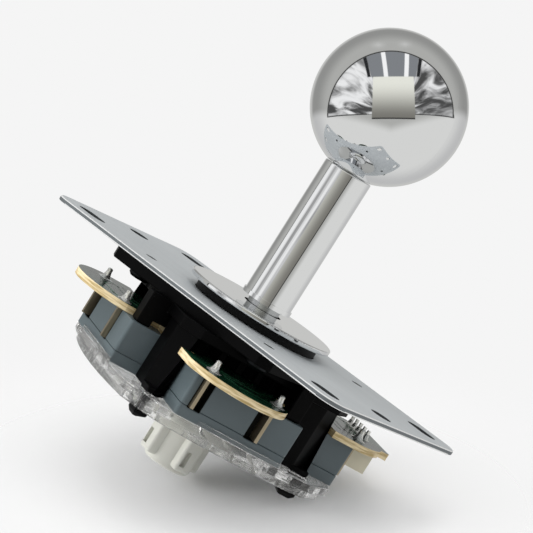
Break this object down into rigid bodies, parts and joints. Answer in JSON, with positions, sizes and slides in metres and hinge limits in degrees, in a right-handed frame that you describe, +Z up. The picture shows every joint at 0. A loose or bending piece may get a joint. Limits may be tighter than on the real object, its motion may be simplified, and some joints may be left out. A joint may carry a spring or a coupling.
{
  "type": "arcade joystick lever",
  "caption": "Ball-top arcade lever that tilts in a socket under a mounting plate, presses small switches through a centring spring and is limited by a clear square gate.",
  "frame": {"origin": "centre of the mounting plate's top face, on the lever's axis", "axes": "+Z up the lever, +X along the mounting plate's long side, +Y across it"},
  "size_m": [0.095, 0.0697, 0.1112],
  "materials": {
    "plate_steel": "sheet steel with a fine brushed grain along its long side",
    "chrome": "mirror bright plating",
    "plain_steel": "bright drawn steel, lightly oiled",
    "black_plastic": "moulded black nylon with a soft sheen",
    "seal_plastic": "dull black",
    "switch_plastic": "moulded blue-grey, fine grain",
    "ivory_plastic": "moulded ivory white with a soft sheen",
    "pivot_plastic": "smooth white acetal",
    "clear_plastic": "clear, slightly grey moulding",
    "board_laminate": "green lacquer on a tan glass-fibre board",
    "solder": "bright tin",
    "contact_brass": "stamped brass strip",
    "header_plastic": "cream nylon"
  },
  "bodies": {
    "housing": {"mounting_plate": "plate_steel", "plate_screws": "plain_steel", "body_housing": "black_plastic", "circuit_board": "board_laminate", "solder_joints": "solder", "connector_header": "header_plastic", "connector_pins": "solder", "restrictor_gate": "clear_plastic", "switch_1_case": "switch_plastic", "switch_1_cover": "switch_plastic", "switch_1_terminals": "contact_brass", "switch_2_case": "switch_plastic", "switch_2_cover": "switch_plastic", "switch_2_terminals": "contact_brass", "switch_3_case": "switch_plastic", "switch_3_cover": "switch_plastic", "switch_3_terminals": "contact_brass", "switch_4_case": "switch_plastic", "switch_4_cover": "switch_plastic", "switch_4_terminals": "contact_brass"},
    "spring_body": {"centering_spring": "plain_steel"},
    "lever": {"lever_shaft": "plain_steel", "ball_top": "chrome", "spherical_pivot": "pivot_plastic", "spring_seat": "ivory_plastic", "actuator": "ivory_plastic", "retaining_clip": "plain_steel"},
    "cover": {"shaft_cover": "chrome"},
    "seal": {"seal_ring": "seal_plastic"},
    "washer": {"dust_washer": "chrome"},
    "plunger_1": {"switch_1_plunger": "ivory_plastic"},
    "plunger_2": {"switch_2_plunger": "ivory_plastic"},
    "plunger_3": {"switch_3_plunger": "ivory_plastic"},
    "plunger_4": {"switch_4_plunger": "ivory_plastic"}
  },
  "joints": [
    {"name": "tilt_along_u", "type": "hinge", "parent": "housing", "child": "spring_body", "pos_m": [0, 0, -0.0055], "axis": [0.4848, 0.8746, 0], "range_deg": [-7.5, 7.5], "stiffness_Nm_per_rad": 0.8, "deforming": ["centering_spring"]},
    {"name": "tilt_along_v", "type": "hinge", "parent": "spring_body", "child": "lever", "pos_m": [0, 0, -0.0055], "axis": [0.8746, -0.4848, 0], "range_deg": [-7.5, 7.5], "stiffness_Nm_per_rad": 0.8},
    {"name": "cover_turn", "type": "hinge", "parent": "lever", "child": "cover", "pos_m": [0, 0, 0.02], "axis": [0, 0, 1], "continuous": true},
    {"name": "seal_slide", "type": "slide", "parent": "housing", "child": "seal", "axis": [0.8746, -0.4848, 0], "range_m": [-0.0011, 0.0011]},
    {"name": "washer_slide", "type": "slide", "parent": "seal", "child": "washer", "axis": [0.4848, 0.8746, 0], "range_m": [-0.0011, 0.0011]},
    {"name": "plunger_1_press", "type": "slide", "parent": "housing", "child": "plunger_1", "axis": [0.8746, -0.4848, 0], "range_m": [-0.00072, 0.00072]},
    {"name": "plunger_2_press", "type": "slide", "parent": "housing", "child": "plunger_2", "axis": [0.4848, 0.8746, 0], "range_m": [-0.00072, 0.00072]},
    {"name": "plunger_3_press", "type": "slide", "parent": "housing", "child": "plunger_3", "axis": [-0.8746, 0.4848, 0], "range_m": [-0.00072, 0.00072]},
    {"name": "plunger_4_press", "type": "slide", "parent": "housing", "child": "plunger_4", "axis": [-0.4848, -0.8746, 0], "range_m": [-0.00072, 0.00072]}
  ],
  "couplings": [
    {"joint": "seal_slide", "follows": "tilt_along_u", "m_per_rad": 0.008},
    {"joint": "washer_slide", "follows": "tilt_along_v", "m_per_rad": -0.008},
    {"joint": "plunger_1_press", "follows": "tilt_along_u", "m_per_rad": -0.005348},
    {"joint": "plunger_3_press", "follows": "tilt_along_u", "m_per_rad": 0.005348},
    {"joint": "plunger_2_press", "follows": "tilt_along_v", "m_per_rad": 0.005348},
    {"joint": "plunger_4_press", "follows": "tilt_along_v", "m_per_rad": -0.005348}
  ]
}
